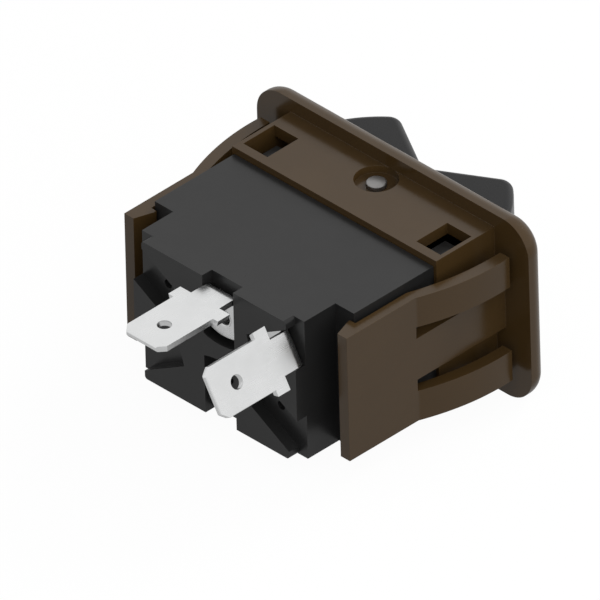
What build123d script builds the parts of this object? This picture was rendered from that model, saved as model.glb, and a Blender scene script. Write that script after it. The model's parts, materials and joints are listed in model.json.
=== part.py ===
from build123d import *
import math
import os

# Snap-in rocker switch: a bezel with snap arms, a housing, a rocker on a pin,
# two quick-connect tabs, and the contacts and plunger inside

# The frame: millimetres, X along the flange, Z up, Y from the rocker to the tabs.
# The origin is the middle of the flange's rear face, where it meets the panel.

# Bezel flange
FLANGE_LENGTH = 43.1
FLANGE_HEIGHT = 24.05
FLANGE_THICKNESS = 2.6
FLANGE_CORNER = 3.9
FLANGE_ROUND = 1.98

# Bezel collar, behind the panel
COLLAR_LENGTH = 32.35
COLLAR_HEIGHT = 20.5
COLLAR_DEPTH = 9.16
COLLAR_SIDE_WALL = 1.48
COLLAR_END_WALL = 0.55

# Latch windows in the collar
WINDOW_LENGTH = 3.81
WINDOW_DEPTH = 4.87
WINDOW_FROM_REAR = 1.23

# Snap arms
ARM_THICKNESS = 1.46
ARM_HEIGHT = 16.8
ARM_REACH = 24.78
ARM_BEND = 13.93
STRUT_HEIGHT = 4.05
STRUT_THICKNESS = 1.64
STRUT_BOW = 2.01
STRUT_SWELL = 0.48
TONGUE_HEIGHT = 5.61
PANEL_GROOVE = 2.22
SHOULDER_STEP = 0.97
HOOK_DEPTH = 0.85
HOOK_FLAT = 0.32
HOOK_GAP = 0.2

# Pivot
PIVOT_DEPTH = 2.52
PIN_RADIUS = 1.19
PIN_SEAT_CLEARANCE = 0.02
PIN_RUNNING_CLEARANCE = 0.05
PIN_END_GAP = 0.32
PIN_CHAMFER = 0.12
PIVOT_RECESS_RADIUS = 2.57
PIVOT_RECESS_DEPTH = 0.95

# Rocker
ROCKER_GAP_SIDE = 0.38
ROCKER_GAP_END = 0.3
ROCKER_VALLEY = 4.82
ROCKER_WING_ANGLE = 30.0
ROCKER_TIP_ROUND = 1.75
ROCKER_VALLEY_ROUND = 0.4
ROCKER_EDGE_ROUND = 1.0
ROCKER_WALL = 1.4
ROCKER_SKIRT = 0.32
CHEEK_RADIUS = 3.8
CHEEK_HALF_LENGTH = 7.4
HUB_RADIUS = 3.0
STEM_SIZE = 5.3
STEM_LENGTH = 10.6
WEB_THICKNESS = 1.27

# Housing
HOUSING_LENGTH = 31.56
HOUSING_HEIGHT = 18.79
HOUSING_REAR = 28.22
SHOULDER_DEPTH = 6.46
TOWER_LENGTH = 25.73
HOUSING_END_WALL = 2.1
REAR_WALL = 3.6
HOUSING_SEAT_GAP = 0.05
PLUG_CLEARANCE = 0.1
PLUG_END_CLEARANCE = 0.74
PLUG_LENGTH = 2.17
PLUG_WALL = 1.22
TONGUE_LENGTH = 3.28
LATCH_INNER_GAP = 0.32
LATCH_OUTER_GAP = 1.05
LATCH_DROP = 0.35
LATCH_BITE = 0.4
LATCH_RAMP = 1.27
LATCH_FLAT = 0.37
LATCH_CATCH_GAP = 0.32

# Terminal nests in the rear face
NEST_DEPTH = 1.54
NEST_CLEARANCE = 0.2
NEST_END = 2.91
NEST_END_BULGE = 0.42
NEST_CORNER_INSET = 1.43
NEST_CORNER_ROUND = 0.4
MIDDLE_NEST_OFFSET = -0.65
MIDDLE_RIVET_HEIGHT = 4.45
SIDE_RIVET_FROM_END = 4.03
SIDE_RIVET_HEIGHT = 4.01
SIDE_TERMINAL_TURN = 60.0
SPARE_HOLE_RADIUS = 0.58
SPARE_HOLE_DEPTH = 1.27

# Quick-connect terminals
TAB_THICKNESS = 0.8
TAB_WIDTH = 6.3
TAB_REACH = 12.12
TAB_NECK_WIDTH = 4.5
TAB_EAR_WIDTH = 7.9
TAB_EAR_NEAR = 1.96
TAB_EAR_FAR = 3.88
TAB_CHAMFER_WIDTH = 0.85
TAB_CHAMFER_LENGTH = 1.0
TAB_TIP_BEVEL = 0.2
TAB_HOLE_RADIUS = 0.85
TAB_HOLE_REACH = 8.4
TAB_BEND_RADIUS = 1.5
TAB_HEIGHT = 3.76
TAB_FOOT_LENGTH = 2.12
TAB_FOOT_BULGE = 0.48

# Tubular rivets, flared into the terminals and rolled over the brass inside
RIVET_RADIUS = 1.05
RIVET_BORE = 0.85
RIVET_FLARE = 0.2
RIVET_HOLE_CLEARANCE = 0.02
RIVET_HEAD_RADIUS = 1.6
RIVET_HEAD_THICKNESS = 0.28
RIVET_HEAD_ROUND = 0.17

# Contacts inside
BRASS_THICKNESS = 0.85
BRACKET_WIDTH = 5.5
BRACKET_MARGIN = 1.9
BRACKET_CORNER = 0.6
EAR_SPREAD = 3.6
EAR_FOOT = 3.4
EAR_THICKNESS = 0.85
EAR_TIP_RADIUS = 0.32
FULCRUM_HEIGHT = 1.7
SEESAW_THICKNESS = 0.53
SEESAW_END_GAP = 0.5
SEESAW_FLAT = 0.85
SEESAW_WING_ANGLE = 10.0
SEESAW_WIDTH = 4.45
SEESAW_CORNER = 0.9
SEESAW_SADDLE_WIDTH = 6.57
SEESAW_SADDLE_LENGTH = 4.66
SEESAW_GAP = 0.1
SEESAW_THROW = 7.5
CONTACT_FROM_END = 2.19
MOVING_CONTACT_RADIUS = 1.48
MOVING_CONTACT_HEIGHT = 0.74
FIXED_CONTACT_RADIUS = 1.59
CONTACT_OVERTRAVEL_GAP = 0.2
CONTACT_ROUND = 0.15
STRIP_WIDTH = 3.8
STRIP_MARGIN = 1.9
STRIP_CORNER = 1.7
STOP_SIZE = 3.2
STOP_GAP = 0.15

# Plunger and its spring
PLUNGER_RADIUS = 1.59
PLUNGER_CLEARANCE = 0.06
PLUNGER_BORE = 1.14
PLUNGER_TIP_WALL = 5.72
PLUNGER_ENGAGEMENT = 6.14
PLUNGER_TIP_GAP = 0.1
SPRING_WIRE = 0.16
SPRING_CLEARANCE = 0.1
SPRING_PITCH = 1.5
SPRING_SEAT_WALL = 1.48
SPRING_END_GAP = 0.04

# How near an edge lies to the place it is picked by
NEAR = 0.01

# Worked out from the above
COLLAR_TOP = COLLAR_HEIGHT / 2
OPENING_LENGTH = COLLAR_LENGTH - 2 * COLLAR_END_WALL
OPENING_HEIGHT = COLLAR_HEIGHT - 2 * COLLAR_SIDE_WALL
WINDOW_OUTER = OPENING_LENGTH / 2
WINDOW_INNER = WINDOW_OUTER - WINDOW_LENGTH
WINDOW_REAR = COLLAR_DEPTH - WINDOW_FROM_REAR
WINDOW_FRONT = WINDOW_REAR - WINDOW_DEPTH
ARM_INNER = COLLAR_LENGTH / 2
ARM_OUTER = ARM_INNER + ARM_THICKNESS
STRUT_OUTER = ARM_OUTER + STRUT_BOW
NECK_OUTER = STRUT_OUTER - SHOULDER_STEP
SHOULDER_Y = HOUSING_REAR - SHOULDER_DEPTH
HOUSING_FRONT = COLLAR_DEPTH + HOUSING_SEAT_GAP
NEST_FLOOR = HOUSING_REAR - NEST_DEPTH
CAVITY_REAR = NEST_FLOOR - REAR_WALL
CAVITY_END = TOWER_LENGTH / 2 - HOUSING_END_WALL
SIDE_RIVET_OFFSET = TOWER_LENGTH / 2 - SIDE_RIVET_FROM_END
PLUG_FRONT = HOUSING_FRONT - PLUG_LENGTH
PLUG_HEIGHT = OPENING_HEIGHT - 2 * PLUG_CLEARANCE
PLUG_LENGTH_X = OPENING_LENGTH - 2 * PLUG_END_CLEARANCE
ROCKER_HEIGHT = OPENING_HEIGHT - 2 * ROCKER_GAP_SIDE
ROCKER_END_RADIUS = OPENING_LENGTH / 2 - ROCKER_GAP_END
STEM_END = PIVOT_DEPTH + STEM_LENGTH
BRASS_FRONT = CAVITY_REAR - BRASS_THICKNESS
FULCRUM_Y = BRASS_FRONT - FULCRUM_HEIGHT
SEESAW_REAR = FULCRUM_Y - SEESAW_GAP
SEESAW_FRONT = SEESAW_REAR - SEESAW_THICKNESS
SEESAW_REACH = CAVITY_END - SEESAW_END_GAP
CONTACT_OFFSET = CAVITY_END - CONTACT_FROM_END
PLUNGER_TIP = SEESAW_FRONT - PLUNGER_TIP_GAP
PLUNGER_FRONT = STEM_END - PLUNGER_ENGAGEMENT
SPRING_FRONT = PIVOT_DEPTH + PIN_RADIUS + SPRING_SEAT_WALL
PLUNGER_BORE_END = PLUNGER_TIP - PLUNGER_TIP_WALL


def depth_slab(outline, y_front, y_rear):
    """Extrude an X-Z outline from one depth to another."""
    plane = Plane(origin=(0, y_rear, 0), x_dir=(1, 0, 0), z_dir=(0, -1, 0))
    return extrude(plane * outline, y_rear - y_front)


def plan_slab(outline, z_low, z_high):
    """Extrude an X-Y outline from one height to another."""
    return extrude(Plane.XY.offset(z_low) * outline, z_high - z_low)


def depth_rod(radius, y_front, y_rear, x=0.0, z=0.0):
    """A round bar along Y."""
    return depth_slab(Pos(x, z) * Circle(radius), y_front, y_rear)


def height_rod(radius, z_low, z_high, x=0.0, y=0.0):
    """A round bar along Z."""
    return plan_slab(Pos(x, y) * Circle(radius), z_low, z_high)


def block(x_range, y_range, z_range):
    """A box between three pairs of limits."""
    lows, highs = zip(x_range, y_range, z_range)
    sizes = [high - low for low, high in zip(lows, highs)]
    middles = [(high + low) / 2 for low, high in zip(lows, highs)]
    return Pos(*middles) * Box(*sizes)


def both_sides(shape, plane=Plane.YZ):
    """A shape with its mirror image."""
    return shape + mirror(shape, plane)


def rear_outline(x_offset, z_offset, turn_deg):
    """The place in the rear face of a terminal's rivet, turned so that the terminal's tab points away."""
    return Pos(x_offset, z_offset) * Rot(0, 0, turn_deg)


def make_flange():
    """The rounded plate that rests on the panel."""
    outline = RectangleRounded(FLANGE_LENGTH, FLANGE_HEIGHT, FLANGE_CORNER)
    plate = depth_slab(outline, -FLANGE_THICKNESS, 0)
    front = plate.faces().sort_by(Axis.Y)[0]
    return fillet(front.edges(), FLANGE_ROUND)


def make_strut_outline():
    """One bowed strut seen from above, with the shoulder that grips the panel and its neck."""
    middle_y = (ARM_BEND + PANEL_GROOVE) / 2
    start = (ARM_OUTER, ARM_BEND)
    shoulder = (STRUT_OUTER, PANEL_GROOVE)
    outer_middle = ((ARM_OUTER + STRUT_OUTER) / 2 + STRUT_SWELL, middle_y)
    inner_end = (STRUT_OUTER - STRUT_THICKNESS, PANEL_GROOVE)
    inner_start = (ARM_INNER, ARM_BEND)
    inner_middle = ((ARM_INNER + inner_end[0]) / 2 + STRUT_SWELL, middle_y)
    edges = [
        ThreePointArc(start, outer_middle, shoulder),
        Line(shoulder, (NECK_OUTER, PANEL_GROOVE)),
        Line((NECK_OUTER, PANEL_GROOVE), (NECK_OUTER, 0)),
        Line((NECK_OUTER, 0), (inner_end[0], 0)),
        Line((inner_end[0], 0), inner_end),
        ThreePointArc(inner_end, inner_middle, inner_start),
        Line(inner_start, start),
    ]
    return make_face(edges)


def make_arm():
    """One snap arm at +X: a rear panel with its hook, two bowed struts and the straight tongue."""
    half = ARM_HEIGHT / 2
    hook_front = SHOULDER_Y + HOOK_GAP
    hook_tip = ARM_INNER - HOOK_DEPTH
    panel = make_face(Polyline(
        (ARM_OUTER, ARM_BEND), (ARM_OUTER, ARM_REACH), (ARM_INNER, ARM_REACH),
        (hook_tip, hook_front + HOOK_FLAT), (hook_tip, hook_front), (ARM_INNER, hook_front),
        (ARM_INNER, ARM_BEND), close=True))
    arm = plan_slab(panel, -half, half)
    strut = make_strut_outline()
    arm += plan_slab(strut, half - STRUT_HEIGHT, half)
    arm += plan_slab(strut, -half, STRUT_HEIGHT - half)
    arm += block((ARM_INNER, ARM_OUTER), (0, ARM_BEND), (-TONGUE_HEIGHT / 2, TONGUE_HEIGHT / 2))
    return arm


def make_bezel():
    """Flange, collar and snap arms, moulded in one."""
    bezel = make_flange()
    bezel += depth_slab(Rectangle(COLLAR_LENGTH, COLLAR_HEIGHT), 0, COLLAR_DEPTH)
    bezel += both_sides(make_arm())
    bezel -= depth_slab(Rectangle(OPENING_LENGTH, OPENING_HEIGHT), -FLANGE_THICKNESS, COLLAR_DEPTH)
    window = block((WINDOW_INNER, WINDOW_OUTER), (WINDOW_FRONT, WINDOW_REAR), (-COLLAR_TOP, COLLAR_TOP))
    bezel -= both_sides(window)
    recess_floor = COLLAR_TOP - PIVOT_RECESS_DEPTH
    recess = height_rod(PIVOT_RECESS_RADIUS, recess_floor, COLLAR_TOP, y=PIVOT_DEPTH)
    bezel -= both_sides(recess, Plane.XY)
    bezel -= height_rod(PIN_RADIUS + PIN_SEAT_CLEARANCE, -COLLAR_TOP, COLLAR_TOP, y=PIVOT_DEPTH)
    return bezel


def make_pivot_pin():
    """The steel pin, just short of the collar's faces."""
    half = COLLAR_TOP - PIN_END_GAP
    return chamfer(height_rod(PIN_RADIUS, -half, half, y=PIVOT_DEPTH).edges(), PIN_CHAMFER)


def rocker_profile(shrink):
    """The rocker's outline from above, drawn in by a wall thickness: round ends and a V face."""
    reach = ROCKER_END_RADIUS + ROCKER_VALLEY
    slope = math.tan(math.radians(ROCKER_WING_ANGLE))
    valley_y = -ROCKER_VALLEY + shrink / math.cos(math.radians(ROCKER_WING_ANGLE))
    disc = Pos(0, PIVOT_DEPTH) * Circle(ROCKER_END_RADIUS - shrink)
    below = make_face(Polyline(
        (0, valley_y), (reach, valley_y - reach * slope), (reach, ROCKER_SKIRT),
        (-reach, ROCKER_SKIRT), (-reach, valley_y - reach * slope), close=True))
    return disc & below


def make_rocker():
    """The moulded rocker: a hollow V cap, two cheeks on the pin, a hub and the plunger's stem."""
    half = ROCKER_HEIGHT / 2
    inner_half = half - ROCKER_WALL
    cap = plan_slab(rocker_profile(0), -half, half)
    tips = [e for e in cap.edges().filter_by(Axis.Z) if e.center().Y < -ROCKER_VALLEY - FLANGE_THICKNESS]
    cap = fillet(tips, ROCKER_TIP_ROUND)
    valley = [e for e in cap.edges().filter_by(Axis.Z) if abs(e.center().X) < ROCKER_TIP_ROUND]
    cap = fillet(valley, ROCKER_VALLEY_ROUND)
    rims = [e for e in cap.edges()
            if abs(abs(e.center().Z) - half) < ROCKER_EDGE_ROUND and e.center().Y < ROCKER_SKIRT / 2]
    cap = fillet(rims, ROCKER_EDGE_ROUND)
    cap -= plan_slab(rocker_profile(ROCKER_WALL), -inner_half, inner_half)

    hub_centre = Pos(0, PIVOT_DEPTH)
    cheek = hub_centre * Circle(CHEEK_RADIUS) + make_face(Polyline(
        (-CHEEK_HALF_LENGTH, 0), (CHEEK_HALF_LENGTH, 0), (CHEEK_HALF_LENGTH, ROCKER_SKIRT),
        (CHEEK_RADIUS, PIVOT_DEPTH), (-CHEEK_RADIUS, PIVOT_DEPTH),
        (-CHEEK_HALF_LENGTH, ROCKER_SKIRT), close=True))
    rocker = cap + both_sides(plan_slab(cheek, inner_half, half), Plane.XY)
    rocker += plan_slab(hub_centre * Circle(HUB_RADIUS), -inner_half, inner_half)
    rocker += block((-WEB_THICKNESS / 2, WEB_THICKNESS / 2),
                    (-ROCKER_VALLEY + ROCKER_WALL / 2, PIVOT_DEPTH), (-inner_half, inner_half))
    stem_half = STEM_SIZE / 2
    rocker += block((-stem_half, stem_half), (PIVOT_DEPTH, STEM_END), (-stem_half, stem_half))
    rocker -= depth_rod(PLUNGER_RADIUS + PLUNGER_CLEARANCE, SPRING_FRONT, STEM_END)
    rocker -= height_rod(PIN_RADIUS + PIN_RUNNING_CLEARANCE, -half, half, y=PIVOT_DEPTH)
    return rocker


def nest_outline(width, bulge):
    """A terminal's nest seen from behind, about its rivet: open towards the tab, closed below the rivet."""
    half = width / 2
    below = -NEST_END
    edges = [
        ThreePointArc((-half, below), (0, below - bulge), (half, below)),
        Line((half, below), (half, TOWER_LENGTH)),
        Line((half, TOWER_LENGTH), (-half, TOWER_LENGTH)),
        Line((-half, TOWER_LENGTH), (-half, below)),
    ]
    return make_face(edges)


def nest_places():
    """Where the six rivets of the base's six terminal places are, and how each terminal is turned."""
    places = []
    for up in (1, -1):
        flip = 0 if up == 1 else 180
        places.append((MIDDLE_NEST_OFFSET, up * MIDDLE_RIVET_HEIGHT, flip))
        for side in (1, -1):
            turn = -side * up * SIDE_TERMINAL_TURN + flip
            places.append((side * SIDE_RIVET_OFFSET, up * SIDE_RIVET_HEIGHT, turn))
    return places


def make_rear_layer():
    """The raised part of the rear face between the six terminal nests."""
    width = TAB_NECK_WIDTH + 2 * NEST_CLEARANCE
    layer = Rectangle(TOWER_LENGTH, HOUSING_HEIGHT)
    for x, z, turn in nest_places():
        layer -= rear_outline(x, z, turn) * nest_outline(width, NEST_END_BULGE)
    corner_height = HOUSING_HEIGHT / 2 - SIDE_RIVET_HEIGHT
    corner_end = TOWER_LENGTH / 2 - NEST_CORNER_INSET
    corner = Pos(corner_end + NEST_CORNER_INSET / 2, HOUSING_HEIGHT / 2 - corner_height / 2) * \
        Rectangle(NEST_CORNER_INSET, corner_height)
    for plane in (Plane.YZ, Plane.XZ):
        corner += mirror(corner, plane)
    layer -= corner
    tips = [v for v in layer.vertices()
            if abs(abs(v.X) - corner_end) < NEAR and abs(abs(v.Y) - HOUSING_HEIGHT / 2) < NEAR]
    return depth_slab(fillet(tips, NEST_CORNER_ROUND), NEST_FLOOR, HOUSING_REAR)


def make_latch():
    """One latch tongue at +X and +Z, with the wedge that catches the bezel's window."""
    top = PLUG_HEIGHT / 2 - LATCH_DROP
    crest = OPENING_HEIGHT / 2 + LATCH_BITE
    catch = WINDOW_REAR - LATCH_CATCH_GAP
    tongue_front = PLUG_FRONT - TONGUE_LENGTH
    x_range = (WINDOW_INNER + LATCH_INNER_GAP, WINDOW_OUTER - LATCH_OUTER_GAP)
    profile = make_face(Polyline(
        (tongue_front, top), (catch - LATCH_FLAT - LATCH_RAMP, top), (catch - LATCH_FLAT, crest),
        (catch, crest), (catch, top), (HOUSING_FRONT, top), (HOUSING_FRONT, top - PLUG_WALL),
        (tongue_front, top - PLUG_WALL), close=True))
    plane = Plane(origin=(x_range[0], 0, 0), x_dir=(0, 1, 0), z_dir=(1, 0, 0))
    return extrude(plane * profile, x_range[1] - x_range[0])


def make_housing():
    """The base moulding: a stepped box with a cavity, a plug into the collar and six terminal nests."""
    housing = depth_slab(Rectangle(HOUSING_LENGTH, HOUSING_HEIGHT), HOUSING_FRONT, SHOULDER_Y)
    housing += depth_slab(Rectangle(TOWER_LENGTH, HOUSING_HEIGHT), SHOULDER_Y, NEST_FLOOR)
    housing += make_rear_layer()
    housing += depth_slab(Rectangle(PLUG_LENGTH_X, PLUG_HEIGHT), PLUG_FRONT, HOUSING_FRONT)
    cavity_height = PLUG_HEIGHT - 2 * PLUG_WALL
    wide = PLUG_LENGTH_X - 2 * PLUG_WALL
    narrow = TOWER_LENGTH - 2 * HOUSING_END_WALL
    housing -= depth_slab(Rectangle(wide, cavity_height), PLUG_FRONT, SHOULDER_Y - HOUSING_END_WALL)
    housing -= depth_slab(Rectangle(narrow, cavity_height), SHOULDER_Y - HOUSING_END_WALL, CAVITY_REAR)
    for side in (1, -1):
        for up in (1, -1):
            latch = make_latch()
            latch = latch if side == 1 else mirror(latch, Plane.YZ)
            latch = latch if up == 1 else mirror(latch, Plane.XY)
            housing += latch
    housing += block((CONTACT_OFFSET - STOP_SIZE / 2, CONTACT_OFFSET + STOP_SIZE / 2),
                     (stop_depth(), CAVITY_REAR), (-STOP_SIZE / 2, STOP_SIZE / 2))
    rivet_hole = RIVET_RADIUS + RIVET_HOLE_CLEARANCE
    for x, z, turn in nest_places():
        if (x, z) in (COMMON_RIVET, LOAD_RIVET):
            housing -= depth_rod(rivet_hole, CAVITY_REAR, HOUSING_REAR, x, z)
        else:
            housing -= depth_rod(SPARE_HOLE_RADIUS, NEST_FLOOR - SPARE_HOLE_DEPTH, HOUSING_REAR, x, z)
    return housing


def tilted_depth(x, y, angle_deg):
    """How deep a point of the see-saw goes when its end tips towards the rear wall."""
    angle = math.radians(angle_deg)
    return FULCRUM_Y + (y - FULCRUM_Y) * math.cos(angle) + abs(x) * math.sin(angle)


def wing_depth(x):
    """The depth of the see-saw's rear face, level, at a distance from its middle."""
    rise = math.tan(math.radians(SEESAW_WING_ANGLE))
    return SEESAW_REAR - (abs(x) - SEESAW_FLAT) * rise


def stop_depth():
    """The front of the stop that the see-saw's free end comes to."""
    return tilted_depth(SEESAW_REACH, wing_depth(SEESAW_REACH), SEESAW_THROW) + STOP_GAP


def fixed_contact_front():
    """The front of the fixed contact, just past the moving one at full throw."""
    slope_x = math.cos(math.radians(SEESAW_WING_ANGLE))
    slope_y = math.sin(math.radians(SEESAW_WING_ANGLE))
    depths = []
    for side in (1, -1):
        reach = side * MOVING_CONTACT_RADIUS
        x = CONTACT_OFFSET + reach * slope_x + MOVING_CONTACT_HEIGHT * slope_y
        y = wing_depth(CONTACT_OFFSET) - reach * slope_y + MOVING_CONTACT_HEIGHT * slope_x
        depths.append(tilted_depth(x, y, SEESAW_THROW))
    return max(depths) + CONTACT_OVERTRAVEL_GAP


COMMON_RIVET = (MIDDLE_NEST_OFFSET, MIDDLE_RIVET_HEIGHT)
LOAD_RIVET = (-SIDE_RIVET_OFFSET, SIDE_RIVET_HEIGHT)
PLATE_REAR = NEST_FLOOR + TAB_THICKNESS


def make_terminal_blank():
    """A folded quick-connect terminal about its rivet, with its flat tab above it pointing to the rear."""
    top = TAB_HEIGHT
    tip = HOUSING_REAR + TAB_REACH
    inner_radius = TAB_BEND_RADIUS - TAB_THICKNESS
    section = make_face(Polyline(
        (NEST_FLOOR, -TAB_FOOT_LENGTH - TAB_FOOT_BULGE), (NEST_FLOOR, top), (tip, top),
        (tip, top - TAB_THICKNESS), (PLATE_REAR, top - TAB_THICKNESS),
        (PLATE_REAR, -TAB_FOOT_LENGTH - TAB_FOOT_BULGE), close=True))
    half_ear = TAB_EAR_WIDTH / 2
    plane = Plane(origin=(-half_ear, 0, 0), x_dir=(0, 1, 0), z_dir=(1, 0, 0))
    blank = extrude(plane * section, TAB_EAR_WIDTH)
    across = blank.edges().filter_by(Axis.X)
    outer = [e for e in across if abs(e.center().Y - NEST_FLOOR) < NEAR and abs(e.center().Z - top) < NEAR]
    blank = fillet(outer, TAB_BEND_RADIUS)
    across = blank.edges().filter_by(Axis.X)
    inner = [e for e in across
             if abs(e.center().Y - PLATE_REAR) < NEAR and abs(e.center().Z - top + TAB_THICKNESS) < NEAR]
    blank = fillet(inner, inner_radius)
    tips = [e for e in blank.edges().filter_by(Axis.X) if e.center().Y > tip - NEAR]
    blank = chamfer(tips, TAB_TIP_BEVEL)

    neck = TAB_NECK_WIDTH / 2
    blade = TAB_WIDTH / 2
    near = HOUSING_REAR + TAB_EAR_NEAR
    far = HOUSING_REAR + TAB_EAR_FAR
    corner_start = tip - TAB_CHAMFER_LENGTH
    corner = blade - TAB_CHAMFER_WIDTH
    right = [(neck, NEST_FLOOR), (neck, near), (half_ear, near), (half_ear, far), (blade, far),
             (blade, corner_start), (corner, tip)]
    left = [(-x, y) for x, y in reversed(right)]
    outline = make_face(Polyline(*right, *left, close=True))
    blank &= plan_slab(outline, -TAB_FOOT_LENGTH - 2 * TAB_FOOT_BULGE, top)

    foot = make_face([
        ThreePointArc((-neck, -TAB_FOOT_LENGTH), (0, -TAB_FOOT_LENGTH - TAB_FOOT_BULGE),
                      (neck, -TAB_FOOT_LENGTH)),
        Line((neck, -TAB_FOOT_LENGTH), (half_ear, top)),
        Line((half_ear, top), (-half_ear, top)),
        Line((-half_ear, top), (-neck, -TAB_FOOT_LENGTH)),
    ])
    blank &= depth_slab(foot, NEST_FLOOR, tip)
    blank -= height_rod(TAB_HOLE_RADIUS, top - 2 * TAB_THICKNESS, top, y=HOUSING_REAR + TAB_HOLE_REACH)
    rivet_hole = RIVET_RADIUS + RIVET_HOLE_CLEARANCE
    blank -= depth_rod(rivet_hole, NEST_FLOOR, PLATE_REAR)
    mouth = [e for e in blank.edges().filter_by(GeomType.CIRCLE)
             if abs(e.radius - rivet_hole) < NEAR and abs(e.center().Y - PLATE_REAR) < NEAR]
    return chamfer(mouth, RIVET_FLARE)


def place_terminal(rivet, turn_deg):
    """A terminal on its rivet, its tab turned about the rivet's axis."""
    return Pos(rivet[0], 0, rivet[1]) * Rot(0, -turn_deg, 0) * make_terminal_blank()


def make_rivet(place):
    """A tubular rivet, flared flush into the terminal, with a rolled head on the brass inside."""
    head_front = BRASS_FRONT - RIVET_HEAD_THICKNESS
    half = make_face(Polyline(
        (RIVET_BORE, head_front), (RIVET_HEAD_RADIUS, head_front), (RIVET_HEAD_RADIUS, BRASS_FRONT),
        (RIVET_RADIUS, BRASS_FRONT), (RIVET_RADIUS, PLATE_REAR - RIVET_FLARE),
        (RIVET_RADIUS + RIVET_FLARE, PLATE_REAR), (RIVET_BORE, PLATE_REAR), close=True))
    rivet = revolve(half, Axis.Y)
    rim = [e for e in rivet.edges().filter_by(GeomType.CIRCLE)
           if e.radius > RIVET_HEAD_RADIUS - NEAR and e.center().Y < BRASS_FRONT - NEAR]
    return Pos(place[0], 0, place[1]) * fillet(rim, RIVET_HEAD_ROUND)


def make_fulcrum_bracket():
    """The brass bracket: a plate on the rear wall and two ears that hold the see-saw's pivot line."""
    x, z = COMMON_RIVET
    low = -EAR_SPREAD / 2 - EAR_THICKNESS
    high = z + BRACKET_MARGIN
    plate = Pos(x / 2, (low + high) / 2) * RectangleRounded(BRACKET_WIDTH, high - low, BRACKET_CORNER)
    bracket = depth_slab(plate, BRASS_FRONT, CAVITY_REAR)
    tip_centre = FULCRUM_Y + EAR_TIP_RADIUS
    ear = make_face(Polyline(
        (-EAR_FOOT / 2, CAVITY_REAR), (-EAR_TIP_RADIUS, tip_centre), (EAR_TIP_RADIUS, tip_centre),
        (EAR_FOOT / 2, CAVITY_REAR), close=True)) + Pos(0, tip_centre) * Circle(EAR_TIP_RADIUS)
    bracket += both_sides(plan_slab(ear, EAR_SPREAD / 2, EAR_SPREAD / 2 + EAR_THICKNESS), Plane.XY)
    return bracket - depth_rod(RIVET_RADIUS + RIVET_HOLE_CLEARANCE, BRASS_FRONT, CAVITY_REAR, x, z)


def make_contact_strip():
    """The brass strip from the load rivet to the fixed contact."""
    x, z = LOAD_RIVET
    low = -STRIP_MARGIN
    high = z + STRIP_MARGIN
    middle = (x - CONTACT_OFFSET) / 2
    strip = Pos(middle, (low + high) / 2) * RectangleRounded(STRIP_WIDTH, high - low, STRIP_CORNER)
    strip = depth_slab(strip, BRASS_FRONT, CAVITY_REAR)
    return strip - depth_rod(RIVET_RADIUS + RIVET_HOLE_CLEARANCE, BRASS_FRONT, CAVITY_REAR, x, z)


def make_fixed_contact():
    """The silver button on the strip."""
    button = depth_rod(FIXED_CONTACT_RADIUS, fixed_contact_front(), BRASS_FRONT, -CONTACT_OFFSET)
    return fillet(button.edges().sort_by(Axis.Y)[0], CONTACT_ROUND)


def make_seesaw():
    """The bronze contact bridge: two raised wings and a wider saddle over the fulcrum's ears."""
    rise = (SEESAW_REACH - SEESAW_FLAT) * math.tan(math.radians(SEESAW_WING_ANGLE))
    half = make_face(Polyline(
        (0, SEESAW_REAR), (SEESAW_FLAT, SEESAW_REAR), (SEESAW_REACH, SEESAW_REAR - rise),
        (SEESAW_REACH, SEESAW_FRONT - rise), (SEESAW_FLAT, SEESAW_FRONT), (0, SEESAW_FRONT), close=True))
    bridge = plan_slab(both_sides(half), -SEESAW_SADDLE_WIDTH / 2, SEESAW_SADDLE_WIDTH / 2)
    outline = RectangleRounded(2 * SEESAW_REACH, SEESAW_WIDTH, SEESAW_CORNER)
    outline += Rectangle(SEESAW_SADDLE_LENGTH, SEESAW_SADDLE_WIDTH)
    return bridge & depth_slab(outline, SEESAW_FRONT - 2 * rise, SEESAW_REAR)


def make_moving_contact():
    """The silver button under the see-saw's load wing."""
    button = depth_rod(MOVING_CONTACT_RADIUS, 0, MOVING_CONTACT_HEIGHT)
    button = fillet(button.edges().sort_by(Axis.Y)[-1], CONTACT_ROUND)
    return Pos(-CONTACT_OFFSET, wing_depth(CONTACT_OFFSET), 0) * Rot(0, 0, SEESAW_WING_ANGLE) * button


def make_plunger():
    """The plunger: a round-nosed rod, hollow in front for its spring."""
    straight_end = PLUNGER_TIP - PLUNGER_RADIUS
    plunger = depth_rod(PLUNGER_RADIUS, PLUNGER_FRONT, straight_end)
    plunger += Pos(0, straight_end, 0) * Sphere(PLUNGER_RADIUS)
    return plunger - depth_rod(PLUNGER_BORE, PLUNGER_FRONT, PLUNGER_BORE_END)


def make_plunger_spring():
    """The compression spring between the stem's seat and the plunger."""
    coil_radius = PLUNGER_BORE - SPRING_CLEARANCE - SPRING_WIRE
    front = SPRING_FRONT + SPRING_WIRE + SPRING_END_GAP
    rear = PLUNGER_BORE_END - SPRING_WIRE - SPRING_END_GAP
    line = Helix(SPRING_PITCH, rear - front, coil_radius)
    start = Plane(origin=line @ 0, z_dir=line % 0)
    wire = sweep(start * Circle(SPRING_WIRE), line, is_frenet=True)
    return Pos(0, front, 0) * Rot(-90, 0, 0) * wire


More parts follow.
